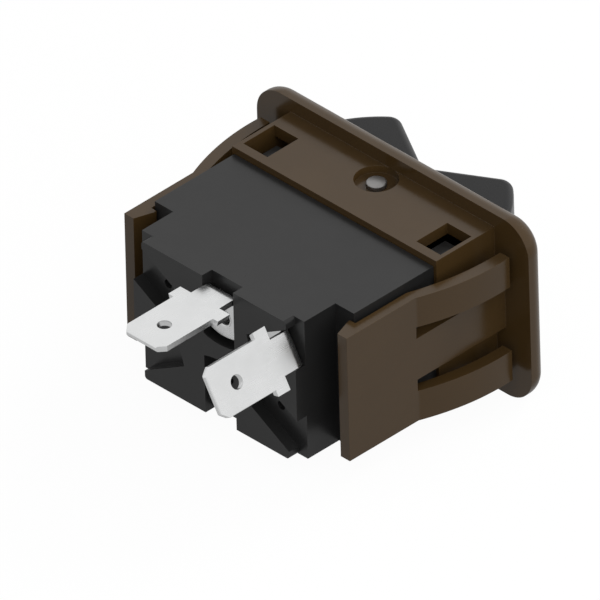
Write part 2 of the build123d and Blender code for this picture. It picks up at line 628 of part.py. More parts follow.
def main():
    """Write every piece as its own file."""
    pieces = {
        "bezel": make_bezel(),
        "housing": make_housing(),
        "rocker": make_rocker(),
        "pivot_pin": make_pivot_pin(),
        "common_terminal": place_terminal(COMMON_RIVET, 0),
        "load_terminal": place_terminal(LOAD_RIVET, SIDE_TERMINAL_TURN),
        "common_rivet": make_rivet(COMMON_RIVET),
        "load_rivet": make_rivet(LOAD_RIVET),
        "fulcrum_bracket": make_fulcrum_bracket(),
        "contact_strip": make_contact_strip(),
        "fixed_contact": make_fixed_contact(),
        "seesaw": make_seesaw(),
        "moving_contact": make_moving_contact(),
        "plunger": make_plunger(),
        "plunger_spring": make_plunger_spring(),
    }
    os.makedirs("parts", exist_ok=True)
    for name, shape in pieces.items():
        export_step(shape, f"parts/{name}.step")


main()
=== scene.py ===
import json
import logging
import math
from dataclasses import dataclass
from enum import Enum

import bmesh
import bpy
from mathutils import Matrix, Vector


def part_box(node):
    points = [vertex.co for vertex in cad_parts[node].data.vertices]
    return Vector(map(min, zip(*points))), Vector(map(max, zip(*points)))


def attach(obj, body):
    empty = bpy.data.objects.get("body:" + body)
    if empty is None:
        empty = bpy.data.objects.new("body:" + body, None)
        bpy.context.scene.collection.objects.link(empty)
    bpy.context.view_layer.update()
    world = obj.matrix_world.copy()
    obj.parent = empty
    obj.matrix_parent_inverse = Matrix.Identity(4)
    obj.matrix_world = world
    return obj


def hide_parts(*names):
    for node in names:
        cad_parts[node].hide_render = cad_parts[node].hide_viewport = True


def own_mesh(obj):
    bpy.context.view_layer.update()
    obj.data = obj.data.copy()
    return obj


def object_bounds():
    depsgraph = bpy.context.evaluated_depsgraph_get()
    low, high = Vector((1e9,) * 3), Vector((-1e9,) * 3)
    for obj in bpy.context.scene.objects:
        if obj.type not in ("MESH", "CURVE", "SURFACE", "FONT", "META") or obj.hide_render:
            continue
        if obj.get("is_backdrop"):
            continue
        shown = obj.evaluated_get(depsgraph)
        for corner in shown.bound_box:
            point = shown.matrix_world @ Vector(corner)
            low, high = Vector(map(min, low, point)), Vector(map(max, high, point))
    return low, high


# The look of a snap-in rocker switch: brown bezel, black base and rocker, tinned tabs and inner contacts

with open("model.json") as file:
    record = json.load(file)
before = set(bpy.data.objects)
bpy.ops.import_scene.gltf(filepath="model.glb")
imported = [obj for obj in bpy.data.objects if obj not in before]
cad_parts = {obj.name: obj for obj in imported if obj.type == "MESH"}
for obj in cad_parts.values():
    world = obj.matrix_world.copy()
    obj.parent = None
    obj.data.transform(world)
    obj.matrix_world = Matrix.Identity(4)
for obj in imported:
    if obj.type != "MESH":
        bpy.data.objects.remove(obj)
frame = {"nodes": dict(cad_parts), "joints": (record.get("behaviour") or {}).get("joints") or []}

MM = 0.001
LOG = logging.getLogger("rocker_switch")

SOLID_WELD = 0.002 * MM
TURNED_WELD = 0.001 * MM
FLAT_ANGLE = math.radians(0.5)

Colour = tuple[float, float, float]
Triple = tuple[float, float, float]


class Body(Enum):
    """The rigid bodies that pieces ride on."""

    BASE = "base"
    ROCKER = "rocker"
    SEESAW = "seesaw"


class Slot(Enum):
    """The material slots of the switch."""

    BROWN = "brown_plastic"
    BLACK = "black_plastic"
    ROCKER = "rocker_plastic"
    PIN = "pin_steel"
    TIN = "tinned_brass"
    BRASS = "bare_brass"
    SILVER = "contact_silver"
    NYLON = "natural_nylon"
    SPRING = "spring_steel"


class Effect(Enum):
    """The surface effects that more than one finish uses."""

    TONE = "uneven_tone"
    GRAIN = "moulded_grain"
    EDGES = "rubbed_edges"
    DUST = "settled_dust"
    ROLLED = "rolled_strip_lines"


class NodeSheet:
    """A node tree with short calls for adding and joining nodes."""

    MIX_INPUTS = (0, 6, 7)
    MIX_RESULT = 2

    def __init__(self, tree: bpy.types.NodeTree) -> None:
        """Keep the tree.

        Args:
            tree: The node tree to fill.
        """
        self.tree = tree

    def add(self, kind: str, **values: object) -> bpy.types.Node:
        """Add a node.

        Args:
            kind: The node's Blender type.
            values: Properties of the node, or sockets by their name with spaces as underscores.

        Returns:
            The new node.
        """
        node = self.tree.nodes.new(kind)
        for name, value in values.items():
            if hasattr(node, name):
                setattr(node, name, value)
            else:
                node.inputs[name.replace("_", " ")].default_value = value
        return node

    def join(self, source: bpy.types.NodeSocket, target: bpy.types.NodeSocket) -> None:
        """Run a link from one socket to another."""
        self.tree.links.new(source, target)

    def maths(self, operation: str, first: object, second: object = 0.0,
              clamp: bool = False) -> bpy.types.NodeSocket:
        """Add a Math node.

        Args:
            operation: The Math node's operation.
            first: A socket or a number.
            second: A socket or a number.
            clamp: Whether the result is held between 0 and 1.

        Returns:
            The result's socket.
        """
        node = self.add("ShaderNodeMath", operation=operation, use_clamp=clamp)
        for index, value in enumerate((first, second)):
            if isinstance(value, bpy.types.NodeSocket):
                self.join(value, node.inputs[index])
            else:
                node.inputs[index].default_value = value
        return node.outputs[0]

    def mix_colour(self, factor: object, low: object, high: object) -> bpy.types.NodeSocket:
        """Add a colour Mix node.

        Args:
            factor: A socket or a number.
            low: The colour at 0, a socket or four numbers.
            high: The colour at 1, a socket or four numbers.

        Returns:
            The mixed colour's socket.
        """
        node = self.add("ShaderNodeMix", data_type="RGBA")
        for index, value in zip(self.MIX_INPUTS, (factor, low, high)):
            if isinstance(value, bpy.types.NodeSocket):
                self.join(value, node.inputs[index])
            else:
                node.inputs[index].default_value = value
        return node.outputs[self.MIX_RESULT]

    def spread(self, value: bpy.types.NodeSocket, low: float, high: float) -> bpy.types.NodeSocket:
        """Stretch a value so that low becomes 0 and high becomes 1, held between them."""
        node = self.add("ShaderNodeMapRange", clamp=True)
        self.join(value, node.inputs["Value"])
        node.inputs["From Min"].default_value = low
        node.inputs["From Max"].default_value = high
        return node.outputs["Result"]


class EffectShelf:
    """The shader node groups, each built once."""

    NUMBER = "NodeSocketFloat"

    def __init__(self) -> None:
        """Build every effect."""
        self.groups: dict[Effect, bpy.types.NodeTree] = {}
        self._uneven_tone()
        self._moulded_grain()
        self._rubbed_edges()
        self._settled_dust()
        self._rolled_strip_lines()

    def _start(self, effect: Effect, takes: dict[str, float],
               gives: str) -> tuple[NodeSheet, dict, bpy.types.NodeSocket]:
        """Begin a group that takes named numbers and gives one.

        Args:
            effect: Which effect it is.
            takes: Each input's value.
            gives: The output's name.

        Returns:
            The sheet, the inputs' sockets and the output's socket.
        """
        tree = bpy.data.node_groups.new(effect.value, "ShaderNodeTree")
        for name, value in takes.items():
            socket = tree.interface.new_socket(name, in_out="INPUT", socket_type=self.NUMBER)
            socket.default_value = value
        tree.interface.new_socket(gives, in_out="OUTPUT", socket_type=self.NUMBER)
        sheet = NodeSheet(tree)
        entry = sheet.add("NodeGroupInput")
        leave = sheet.add("NodeGroupOutput")
        self.groups[effect] = tree
        return sheet, {name: entry.outputs[name] for name in takes}, leave.inputs[gives]

    def _place(self, sheet: NodeSheet, scale: Triple = (1.0, 1.0, 1.0)) -> bpy.types.NodeSocket:
        """Add Object coordinates in millimetres, stretched by a scale."""
        place = sheet.add("ShaderNodeTexCoord")
        mapping = sheet.add("ShaderNodeMapping")
        mapping.inputs["Scale"].default_value = [value / MM for value in scale]
        sheet.join(place.outputs["Object"], mapping.inputs["Vector"])
        return mapping.outputs["Vector"]

    def _uneven_tone(self) -> None:
        """A slow change of tone over a surface, as flowed plastic and plate have."""
        sheet, takes, value = self._start(Effect.TONE, {"Patch Size": 6.0, "Contrast": 0.5}, "Value")
        frequency = sheet.maths("DIVIDE", 1.0, takes["Patch Size"])
        noise = sheet.add("ShaderNodeTexNoise", Detail=3.0, Roughness=0.55)
        sheet.join(self._place(sheet), noise.inputs["Vector"])
        sheet.join(frequency, noise.inputs["Scale"])
        centred = sheet.maths("SUBTRACT", noise.outputs["Fac"], 0.5)
        scaled = sheet.maths("MULTIPLY", centred, takes["Contrast"])
        sheet.join(sheet.maths("ADD", scaled, 0.5, clamp=True), value)

    def _moulded_grain(self) -> None:
        """The fine spark-eroded grain of a mould, with a few shallow flow waves."""
        sheet, takes, height = self._start(Effect.GRAIN, {"Grain Size": 0.15, "Waviness": 0.3}, "Height")
        place = self._place(sheet)
        fine = sheet.add("ShaderNodeTexNoise", Detail=2.0, Roughness=0.5)
        sheet.join(place, fine.inputs["Vector"])
        sheet.join(sheet.maths("DIVIDE", 1.0, takes["Grain Size"]), fine.inputs["Scale"])
        wave = sheet.add("ShaderNodeTexNoise", Scale=0.25, Detail=1.0)
        sheet.join(place, wave.inputs["Vector"])
        swell = sheet.maths("MULTIPLY", wave.outputs["Fac"], takes["Waviness"])
        sheet.join(sheet.maths("ADD", fine.outputs["Fac"], swell), height)

    def _rubbed_edges(self) -> None:
        """A mask of the outer edges that handling has rubbed, broken up by noise."""
        sheet, takes, mask = self._start(Effect.EDGES, {"Radius": 0.2, "Amount": 0.5}, "Mask")
        bevel = sheet.add("ShaderNodeBevel", samples=6)
        sheet.join(sheet.maths("MULTIPLY", takes["Radius"], MM), bevel.inputs["Radius"])
        surface = sheet.add("ShaderNodeNewGeometry")
        dot = sheet.add("ShaderNodeVectorMath", operation="DOT_PRODUCT")
        sheet.join(bevel.outputs["Normal"], dot.inputs[0])
        sheet.join(surface.outputs["True Normal"], dot.inputs[1])
        turned = sheet.maths("SUBTRACT", 1.0, dot.outputs["Value"])
        noise = sheet.add("ShaderNodeTexNoise", Scale=0.9, Detail=4.0, Roughness=0.65)
        sheet.join(self._place(sheet), noise.inputs["Vector"])
        patchy = sheet.spread(noise.outputs["Fac"], low=0.35, high=0.65)
        edge = sheet.spread(turned, low=0.02, high=0.25)
        broken = sheet.maths("MULTIPLY", edge, patchy)
        sheet.join(sheet.maths("MULTIPLY", broken, takes["Amount"], clamp=True), mask)

    def _settled_dust(self) -> None:
        """A thin film on the faces that look up, heavier in soft patches."""
        sheet, takes, mask = self._start(Effect.DUST, {"Amount": 0.2}, "Mask")
        surface = sheet.add("ShaderNodeNewGeometry")
        split = sheet.add("ShaderNodeSeparateXYZ")
        sheet.join(surface.outputs["Normal"], split.inputs[0])
        upward = sheet.spread(split.outputs["Z"], low=0.2, high=1.0)
        noise = sheet.add("ShaderNodeTexNoise", Scale=0.35, Detail=5.0, Roughness=0.6)
        sheet.join(self._place(sheet), noise.inputs["Vector"])
        patchy = sheet.spread(noise.outputs["Fac"], low=0.3, high=0.8)
        film = sheet.maths("MULTIPLY", upward, patchy)
        sheet.join(sheet.maths("MULTIPLY", film, takes["Amount"], clamp=True), mask)

    def _rolled_strip_lines(self) -> None:
        """Faint straight lines along Y, as the rolls leave on metal strip."""
        sheet, takes, height = self._start(Effect.ROLLED, {"Line Width": 0.08}, "Height")
        noise = sheet.add("ShaderNodeTexNoise", Detail=3.0, Roughness=0.6)
        stretched_along_y = self._place(sheet, (1.0, 0.03, 1.0))
        sheet.join(stretched_along_y, noise.inputs["Vector"])
        sheet.join(sheet.maths("DIVIDE", 1.0, takes["Line Width"]), noise.inputs["Scale"])
        sheet.join(noise.outputs["Fac"], height)

    def use(self, sheet: NodeSheet, effect: Effect, **values: float) -> bpy.types.Node:
        """Place an effect in a material.

        Args:
            sheet: The material's node sheet.
            effect: Which effect.
            values: Its inputs by name, with spaces as underscores.

        Returns:
            The group node.
        """
        node = sheet.add("ShaderNodeGroup", node_tree=self.groups[effect])
        for name, value in values.items():
            node.inputs[name.replace("_", " ")].default_value = value
        return node


@dataclass(frozen=True)
class MouldedPlastic:
    """A moulded plastic with its grain, its uneven tone, rubbed edges and dust."""

    slot: Slot
    colour: Colour
    rubbed_colour: Colour
    roughness: float = 0.45
    grain_size: float = 0.14
    grain_depth: float = 0.008
    tone_change: float = 0.08
    flow_size: float = 7.0
    flow_contrast: float = 1.6
    patch_size: float = 2.2
    patch_contrast: float = 1.4
    patch_change: float = 0.08
    rubbing: float = 0.35
    rubbed_width: float = 0.22
    rubbed_polish: float = 0.12
    dust: float = 0.008
    dust_colour: Colour = (0.34, 0.32, 0.29)
    waviness: float = 0.5
    bump_strength: float = 0.35
    specular: float = 0.29

    def build(self, effects: EffectShelf) -> bpy.types.Material:
        """Make the material.

        Args:
            effects: The shader node groups.

        Returns:
            The material.
        """
        material = bpy.data.materials.new(self.slot.value)
        material.use_nodes = True
        sheet = NodeSheet(material.node_tree)
        shader = material.node_tree.nodes["Principled BSDF"]
        tone = effects.use(sheet, Effect.TONE, Patch_Size=self.flow_size, Contrast=self.flow_contrast)
        dark = [part * (1.0 - self.tone_change) for part in self.colour] + [1.0]
        light = [part * (1.0 + self.tone_change) for part in self.colour] + [1.0]
        flowed = sheet.mix_colour(tone.outputs["Value"], dark, light)
        edges = effects.use(sheet, Effect.EDGES, Radius=self.rubbed_width, Amount=self.rubbing)
        rubbed = sheet.mix_colour(edges.outputs["Mask"], flowed, (*self.rubbed_colour, 1.0))
        dust = effects.use(sheet, Effect.DUST, Amount=self.dust)
        dusty = sheet.mix_colour(dust.outputs["Mask"], rubbed, (*self.dust_colour, 1.0))
        sheet.join(dusty, shader.inputs["Base Color"])
        patches = effects.use(sheet, Effect.TONE, Patch_Size=self.patch_size, Contrast=self.patch_contrast)
        centred = sheet.maths("SUBTRACT", patches.outputs["Value"], 0.5)
        change = sheet.maths("MULTIPLY", centred, self.patch_change)
        polished = sheet.maths("MULTIPLY", edges.outputs["Mask"], -self.rubbed_polish)
        varied = sheet.maths("ADD", change, polished)
        sheet.join(sheet.maths("ADD", varied, self.roughness, clamp=True), shader.inputs["Roughness"])
        grain = effects.use(sheet, Effect.GRAIN, Grain_Size=self.grain_size, Waviness=self.waviness)
        bump = sheet.add("ShaderNodeBump", Strength=self.bump_strength, Distance=self.grain_depth * MM)
        sheet.join(grain.outputs["Height"], bump.inputs["Height"])
        sheet.join(bump.outputs["Normal"], shader.inputs["Normal"])
        shader.inputs["Specular IOR Level"].default_value = self.specular
        return material


@dataclass(frozen=True)
class StripMetal:
    """A metal with rolled lines, uneven tone and slightly duller patches."""

    slot: Slot
    colour: Colour
    dull_colour: Colour
    roughness: float = 0.3
    line_width: float = 0.09
    line_depth: float = 0.004
    line_change: float = 0.2
    patch_size: float = 3.0
    patch_contrast: float = 1.8
    dulling: float = 0.35
    dull_change: float = 0.25
    rubbed_width: float = 0.12
    rubbing: float = 0.4
    rubbed_gain: float = 1.15
    bump_strength: float = 0.3

    def build(self, effects: EffectShelf) -> bpy.types.Material:
        """Make the material.

        Args:
            effects: The shader node groups.

        Returns:
            The material.
        """
        material = bpy.data.materials.new(self.slot.value)
        material.use_nodes = True
        sheet = NodeSheet(material.node_tree)
        shader = material.node_tree.nodes["Principled BSDF"]
        shader.inputs["Metallic"].default_value = 1.0
        tone = effects.use(sheet, Effect.TONE, Patch_Size=self.patch_size, Contrast=self.patch_contrast)
        patchy = sheet.maths("MULTIPLY", tone.outputs["Value"], self.dulling)
        edges = effects.use(sheet, Effect.EDGES, Radius=self.rubbed_width, Amount=self.rubbing)
        plate = sheet.mix_colour(patchy, (*self.colour, 1.0), (*self.dull_colour, 1.0))
        bright = [min(1.0, part * self.rubbed_gain) for part in self.colour] + [1.0]
        sheet.join(sheet.mix_colour(edges.outputs["Mask"], plate, bright), shader.inputs["Base Color"])
        lines = effects.use(sheet, Effect.ROLLED, Line_Width=self.line_width)
        centred = sheet.maths("SUBTRACT", lines.outputs["Height"], 0.5)
        streaks = sheet.maths("MULTIPLY", centred, self.line_change)
        clouded = sheet.maths("ADD", streaks, sheet.maths("MULTIPLY", patchy, self.dull_change))
        sheet.join(sheet.maths("ADD", clouded, self.roughness, clamp=True), shader.inputs["Roughness"])
        bump = sheet.add("ShaderNodeBump", Strength=self.bump_strength, Distance=self.line_depth * MM)
        sheet.join(lines.outputs["Height"], bump.inputs["Height"])
        sheet.join(bump.outputs["Normal"], shader.inputs["Normal"])
        return material


class FinishRack:
    """Every finish of the switch, built once and handed out by slot."""

    RECIPES = (
        MouldedPlastic(Slot.BROWN, (0.053, 0.0302, 0.0105), (0.066, 0.04, 0.018), roughness=0.2),
        MouldedPlastic(Slot.BLACK, (0.0145, 0.0145, 0.0145), (0.022, 0.022, 0.022), roughness=0.3),
        MouldedPlastic(Slot.ROCKER, (0.0105, 0.0105, 0.011), (0.02, 0.02, 0.02), roughness=0.26,
                       grain_size=0.1, specular=0.2),
        MouldedPlastic(Slot.NYLON, (0.75, 0.71, 0.6), (0.85, 0.82, 0.74), roughness=0.4, grain_depth=0.006),
        StripMetal(Slot.TIN, (0.74, 0.745, 0.745), (0.62, 0.63, 0.63), roughness=0.26),
        StripMetal(Slot.PIN, (0.3, 0.295, 0.29), (0.22, 0.21, 0.2), roughness=0.4),
        StripMetal(Slot.BRASS, (0.78, 0.58, 0.26), (0.6, 0.42, 0.18), roughness=0.33),
        StripMetal(Slot.SILVER, (0.86, 0.86, 0.85), (0.66, 0.66, 0.66), roughness=0.3),
        StripMetal(Slot.SPRING, (0.56, 0.56, 0.55), (0.42, 0.42, 0.42), roughness=0.28),
    )

    def __init__(self) -> None:
        """Build the effects and the finishes."""
        effects = EffectShelf()
        self.materials = {recipe.slot: recipe.build(effects) for recipe in self.RECIPES}

    def dress(self, piece: bpy.types.Object, slot: Slot) -> None:
        """Give a piece the finish of a slot."""
        if piece.material_slots:
            piece.material_slots[0].material = self.materials[slot]
        else:
            piece.data.materials.append(self.materials[slot])


def hang(mesh: bmesh.types.BMesh, name: str) -> bpy.types.Object:
    """Turn a bmesh into an object at the origin.

    Args:
        mesh: The finished bmesh, which is freed.
        name: The object's name.

    Returns:
        The object, linked to the scene.
    """
    data = bpy.data.meshes.new(name)
    mesh.to_mesh(data)
    mesh.free()
    piece = bpy.data.objects.new(name, data)
    bpy.context.scene.collection.objects.link(piece)
    return piece


def cut_away(piece: bpy.types.Object, cutter: bpy.types.Object) -> None:
    """Take a cutter's volume out of a piece for good, and remove the cutter.

    Args:
        piece: The piece to cut, with no other modifier yet.
        cutter: The object whose closed volume goes.
    """
    cut = piece.modifiers.new("cut", "BOOLEAN")
    cut.operation = "DIFFERENCE"
    cut.solver = "EXACT"
    cut.object = cutter
    graph = bpy.context.evaluated_depsgraph_get()
    carved = bpy.data.meshes.new_from_object(piece.evaluated_get(graph))
    piece.modifiers.remove(cut)
    piece.data = carved
    bpy.data.objects.remove(cutter)


@dataclass
class RoundedMoulding:
    """A hard piece taken from its solid, with every sharp edge rounded as its tool leaves it."""

    node: str
    body: Body
    slot: Slot
    edge_radius: float
    corner_angle: float = 24.0
    segments: int = 3
    flat_face_weight: int = 50

    def reshape(self, piece: bpy.types.Object) -> None:
        """Change the piece before its edges are rounded; a plain moulding keeps its solid's form."""

    def build(self, finishes: FinishRack) -> bpy.types.Object:
        """Make the rounded piece in place of its node.

        Args:
            finishes: The finishes.

        Returns:
            The piece.
        """
        mesh = bmesh.new()
        mesh.from_mesh(frame["nodes"][self.node].data)
        bmesh.ops.remove_doubles(mesh, verts=mesh.verts, dist=SOLID_WELD)
        bmesh.ops.dissolve_limit(mesh, angle_limit=FLAT_ANGLE, verts=mesh.verts, edges=mesh.edges)
        for face in mesh.faces:
            face.smooth = True
        piece = hang(mesh, f"{self.node}_rounded")
        self.reshape(piece)
        rounding = piece.modifiers.new("rounded_edges", "BEVEL")
        rounding.width = self.edge_radius * MM
        rounding.segments = self.segments
        rounding.limit_method = "ANGLE"
        rounding.angle_limit = math.radians(self.corner_angle)
        rounding.harden_normals = True
        rounding.use_clamp_overlap = True
        flat = piece.modifiers.new("flat_faces_stay_flat", "WEIGHTED_NORMAL")
        flat.weight = self.flat_face_weight
        flat.keep_sharp = True
        finishes.dress(piece, self.slot)
        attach(piece, self.body.value)
        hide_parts(self.node)
        return piece


@dataclass(frozen=True)
class StrutCurve:
    """One face of a strut seen from above: how far out it lies at each depth behind the flange."""

    start: tuple[float, float]
    middle: tuple[float, float]
    end: tuple[float, float]

    def reach(self, depth: float) -> float:
        """Read the curve.

        Args:
            depth: The depth behind the flange's rear face, in millimetres.

        Returns:
            The distance from the switch's middle, in millimetres.
        """
        knots = (self.start, self.middle, self.end)
        total = 0.0
        for own, out in knots:
            weight = 1.0
            for other, _ in knots:
                if other != own:
                    weight *= (depth - other) / (own - other)
            total += out * weight
        return total


@dataclass
class SnapBezel(RoundedMoulding):
    """The bezel, whose struts bow out and end free just behind the panel, as the photograph shows them."""

    strut_low: float = 4.2
    strut_high: float = 8.6
    neck_inner: float = 17.9
    neck_outer: float = 19.7
    solid_inner: StrutCurve = StrutCurve((13.93, 16.175), (8.075, 17.57), (2.22, 18.005))
    solid_outer: StrutCurve = StrutCurve((13.93, 17.635), (8.075, 19.12), (2.22, 19.645))
    free_inner: StrutCurve = StrutCurve((13.93, 16.175), (7.565, 17.84), (1.2, 18.265))
    free_outer: StrutCurve = StrutCurve((13.93, 17.635), (7.565, 19.4), (1.2, 19.725))
    slack: float = 0.06
    shortest_split: float = 0.3
    extra_cuts: int = 3

    def reshape(self, piece: bpy.types.Object) -> None:
        """Cut the struts' necks off the flange, and lay the struts along their freer curves.

        Args:
            piece: The bezel before its edges are rounded.
        """
        solid_end = self.solid_outer.end[0]
        necks = bmesh.new()
        sizes = (self.neck_outer - self.neck_inner, solid_end, self.strut_high - self.strut_low)
        for side in (1, -1):
            for up in (1, -1):
                middle = (side * (self.neck_outer + self.neck_inner) / 2, solid_end / 2,
                          up * (self.strut_high + self.strut_low) / 2)
                place = Matrix.LocRotScale(Vector(middle) * MM, None, Vector(sizes) * MM)
                bmesh.ops.create_cube(necks, size=1.0, matrix=place)
        cut_away(piece, hang(necks, "strut_necks"))
        mesh = bmesh.new()
        mesh.from_mesh(piece.data)
        bmesh.ops.dissolve_limit(mesh, angle_limit=FLAT_ANGLE, verts=mesh.verts, edges=mesh.edges)
        long_edges = [edge for edge in mesh.edges if self._runs_along_strut(edge)]
        bmesh.ops.subdivide_edges(mesh, edges=long_edges, cuts=self.extra_cuts)
        for vert in mesh.verts:
            self._lay_along(vert)
        for face in mesh.faces:
            face.smooth = True
        for edge in mesh.edges:
            if all(self._at_root(vert) for vert in edge.verts):
                edge.smooth = False
        mesh.to_mesh(piece.data)
        mesh.free()

    def _in_strut(self, vert: bmesh.types.BMVert) -> bool:
        """Tell whether a vertex belongs to a strut of the solid."""
        out, depth, height = abs(vert.co.x) / MM, vert.co.y / MM, abs(vert.co.z) / MM
        inner, outer = self.solid_inner.reach(depth), self.solid_outer.reach(depth)
        in_depth = self.solid_outer.end[0] - self.slack < depth < self.solid_outer.start[0] + self.slack
        in_width = inner - self.slack < out < outer + self.slack
        return in_depth and in_width and self.strut_low < height < self.strut_high

    def _at_root(self, vert: bmesh.types.BMVert) -> bool:
        """Tell whether a vertex lies where a strut leaves the arm's panel."""
        return self._in_strut(vert) and abs(vert.co.y / MM - self.solid_outer.start[0]) < self.slack

    def _runs_along_strut(self, edge: bmesh.types.BMEdge) -> bool:
        """Tell whether an edge lies in a strut and runs along it."""
        first, second = edge.verts
        same_side = first.co.x * second.co.x > 0.0 and first.co.z * second.co.z > 0.0
        lengthwise = abs(first.co.y - second.co.y) > self.shortest_split * MM
        return same_side and lengthwise and self._in_strut(first) and self._in_strut(second)

    def _lay_along(self, vert: bmesh.types.BMVert) -> None:
        """Move a vertex of a strut from the solid's curves to the free ones, and leave any other vertex."""
        if not self._in_strut(vert):
            return
        out, depth = abs(vert.co.x) / MM, vert.co.y / MM
        root, solid_end = self.solid_outer.start[0], self.solid_outer.end[0]
        inner, outer = self.solid_inner.reach(depth), self.solid_outer.reach(depth)
        along = (root - depth) / (root - solid_end)
        across = (out - inner) / (outer - inner)
        if abs(across - round(across)) < self.slack:
            across = float(round(across))
        new_depth = root - along * (root - self.free_outer.end[0])
        low, high = self.free_inner.reach(new_depth), self.free_outer.reach(new_depth)
        vert.co.y = new_depth * MM
        vert.co.x = math.copysign((low + across * (high - low)) * MM, vert.co.x)


@dataclass
class PlungerSpring(RoundedMoulding):
    """The plunger's spring, copied as it stands; the piece does not shorten as the plunger goes in."""

    joint: str = "plunger_slide"

    def build(self, finishes: FinishRack) -> bpy.types.Object:
        """Copy the coil, and work out its length and the shortest length the plunger's joint allows;
        neither is used.

        Args:
            finishes: The finishes.

        Returns:
            The spring.
        """
        low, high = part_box(self.node)
        slide = next(joint for joint in frame["joints"] if joint["name"] == self.joint)
        mesh = bmesh.new()
        mesh.from_mesh(frame["nodes"][self.node].data)
        bmesh.ops.remove_doubles(mesh, verts=mesh.verts, dist=SOLID_WELD)
        for face in mesh.faces:
            face.smooth = True
        piece = hang(mesh, f"{self.node}_coil")
        finishes.dress(piece, self.slot)
        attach(piece, self.body.value)
        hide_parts(self.node)
        length = high[1] - low[1]
        shortest = length - max(abs(limit) for limit in slide["range_m"])
        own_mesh(piece)
        return piece


@dataclass
class TurnedPiece:
    """A round piece spun about an axis from a half profile."""

    name: str
    node: str
    body: Body
    slot: Slot
    axis: Triple
    centre: Vector
    steps: int = 64
    sharp_angle: float = 35.0

    def build(self, profile: list[tuple[float, float]], finishes: FinishRack) -> bpy.types.Object:
        """Spin the profile and put the piece in place of its node.

        Args:
            profile: Points of radius and distance along the axis, in metres, a closed ring or ending on
                the axis.
            finishes: The finishes.

        Returns:
            The piece.
        """
        along = Vector(self.axis)
        outward = along.orthogonal().normalized()
        mesh = bmesh.new()
        ring = [mesh.verts.new(self.centre + outward * radius + along * reach) for radius, reach in profile]
        closed = min(radius for radius, _ in profile) > 0.0
        pairs = list(zip(ring, ring[1:] + ring[:1])) if closed else list(zip(ring, ring[1:]))
        edges = [mesh.edges.new(pair) for pair in pairs]
        bmesh.ops.spin(mesh, geom=ring + edges, cent=self.centre, axis=along, angle=2.0 * math.pi,
                       steps=self.steps, use_merge=True, use_duplicate=False)
        bmesh.ops.remove_doubles(mesh, verts=mesh.verts, dist=TURNED_WELD)
        bmesh.ops.recalc_face_normals(mesh, faces=mesh.faces)
        for face in mesh.faces:
            face.smooth = True
        for edge in mesh.edges:
            edge.smooth = edge.calc_face_angle(0.0) < math.radians(self.sharp_angle)
        piece = hang(mesh, self.name)
        finishes.dress(piece, self.slot)
        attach(piece, self.body.value)
        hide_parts(self.node)
        return piece


@dataclass
class PivotPin:
    """The steel pin on which the rocker turns."""

    chamfer: float = 0.12
    edge_round: float = 0.04

    def build(self, finishes: FinishRack) -> bpy.types.Object:
        """Turn the pin, with a chamfer at each end and its sharp corners just broken.

        Args:
            finishes: The finishes.

        Returns:
            The pin.
        """
        low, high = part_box("pivot_pin")
        low, high = Vector(low), Vector(high)
        radius = (high.x - low.x) / 2
        half = (high.z - low.z) / 2
        cut = self.chamfer * MM
        broken = self.edge_round * MM
        end = [(0.0, half), (radius - cut - broken, half), (radius - cut + broken / 2, half - broken),
               (radius - broken / 4, half - cut), (radius, half - cut - broken)]
        profile = end + [(r, -z) for r, z in reversed(end)]
        turned = TurnedPiece("pivot_pin_turned", "pivot_pin", Body.BASE, Slot.PIN, axis=(0.0, 0.0, 1.0),
                             centre=(low + high) / 2)
        return turned.build(profile, finishes)


@dataclass
class TubularRivet:
    """A tubular rivet through a terminal and the brass inside, flared flush at the rear."""

    node: str
    bore: float = 0.98
    shank: float = 1.05
    flare: float = 0.19
    head_thickness: float = 0.28
    lip_points: int = 6

    def build(self, finishes: FinishRack) -> bpy.types.Object:
        """Turn the rivet from its node's own box.

        Args:
            finishes: The finishes.

        Returns:
            The rivet.
        """
        low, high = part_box(self.node)
        low, high = Vector(low), Vector(high)
        half = (high.y - low.y) / 2
        head = (high.x - low.x) / 2
        bore = self.bore * MM
        shank = self.shank * MM
        flare = self.flare * MM
        thickness = self.head_thickness * MM
        roll = thickness / 2
        turns = [math.pi * step / (2 * self.lip_points) for step in range(self.lip_points + 1)]
        lip = [(head - roll + roll * math.cos(turn), roll - half - roll * math.sin(turn)) for turn in turns]
        mouth = [(bore + roll * (1.0 - math.sin(turn)), half - roll * (1.0 - math.cos(turn)))
                 for turn in turns]
        rear = [(shank, thickness - half), (shank, half - flare), (shank + flare, half)]
        profile = [(bore, -half)] + lip[::-1] + [(head, thickness - half)] + rear + mouth
        turned = TurnedPiece(f"{self.node}_rolled", self.node, Body.BASE, Slot.TIN, axis=(0.0, 1.0, 0.0),
                             centre=(low + high) / 2)
        return turned.build(profile, finishes)


